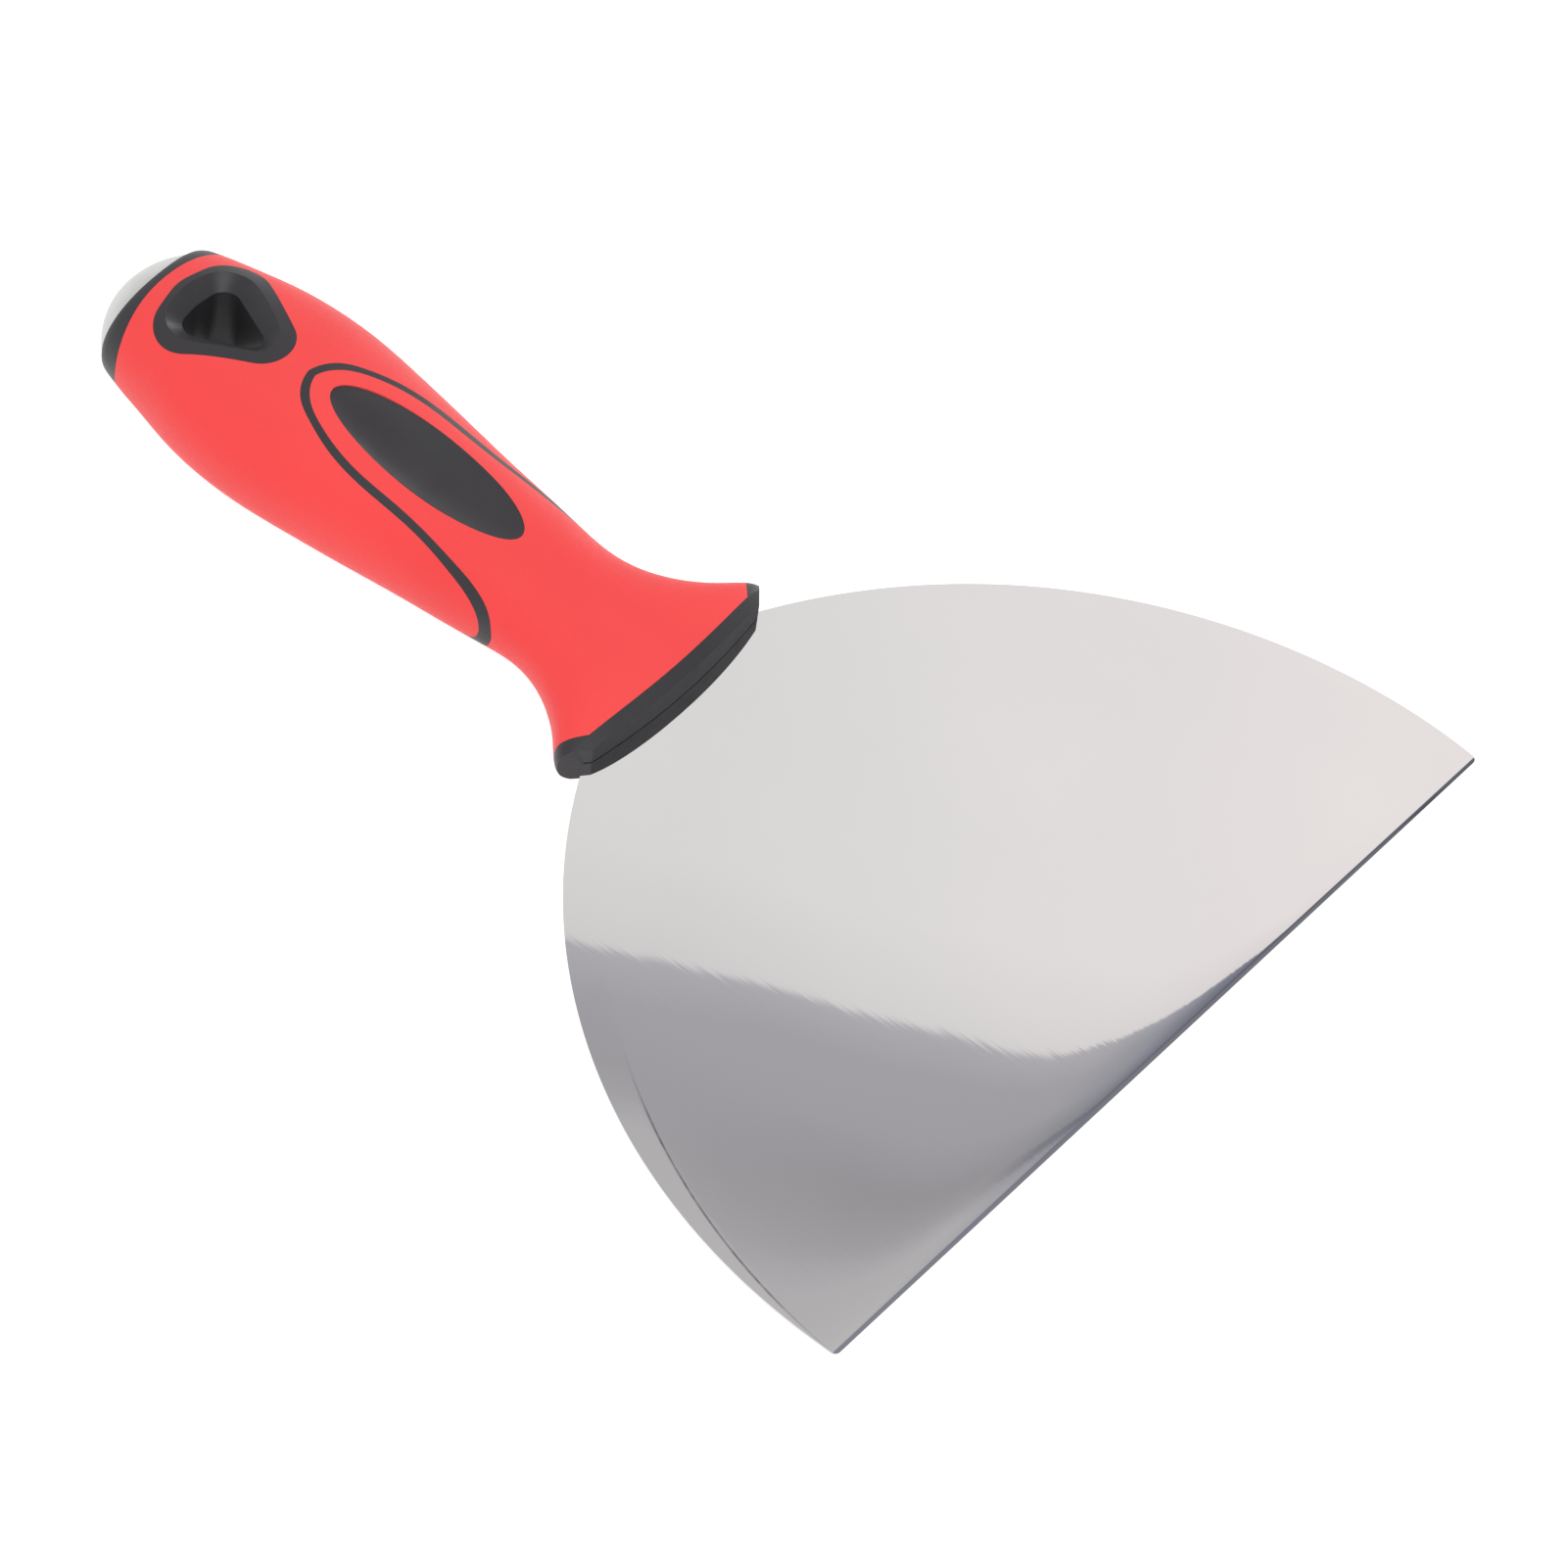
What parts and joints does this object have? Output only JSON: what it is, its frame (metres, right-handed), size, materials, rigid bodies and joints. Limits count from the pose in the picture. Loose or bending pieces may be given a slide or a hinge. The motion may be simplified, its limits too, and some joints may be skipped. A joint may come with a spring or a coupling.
{
  "type": "flexible putty knife",
  "caption": "Wide fan-shaped flexible steel blade on a contoured two-tone moulded handle, with a hang hole and a domed metal strike cap at the butt.",
  "frame": {"origin": "centre of the bounding box, on the mid-plane of the blade and the centre line of the handle", "axes": "+X along the tool from the handle to the blade's front edge, +Y across the blade, +Z square to the blade's face"},
  "size_m": [0.206, 0.1504, 0.0234],
  "materials": {
    "blade_steel": "mirror polished, with fine polishing lines along the tool",
    "core_plastic": "satin moulded black",
    "grip_rubber": "matte soft red",
    "cap_metal": "satin",
    "pin_steel": "plain"
  },
  "bodies": {
    "handle": {"handle_core": "core_plastic", "grip_front": "grip_rubber", "grip_rear": "grip_rubber", "blade_tang": "blade_steel", "strike_cap": "cap_metal", "cap_pin": "pin_steel"},
    "blade": {"blade": "blade_steel"}
  },
  "joints": [
    {"name": "blade_flex", "type": "hinge", "parent": "handle", "child": "blade", "pos_m": [0.0084, 0, 0], "axis": [0, 1, 0], "range_deg": [-20, 20], "stiffness_Nm_per_rad": 9.6}
  ]
}
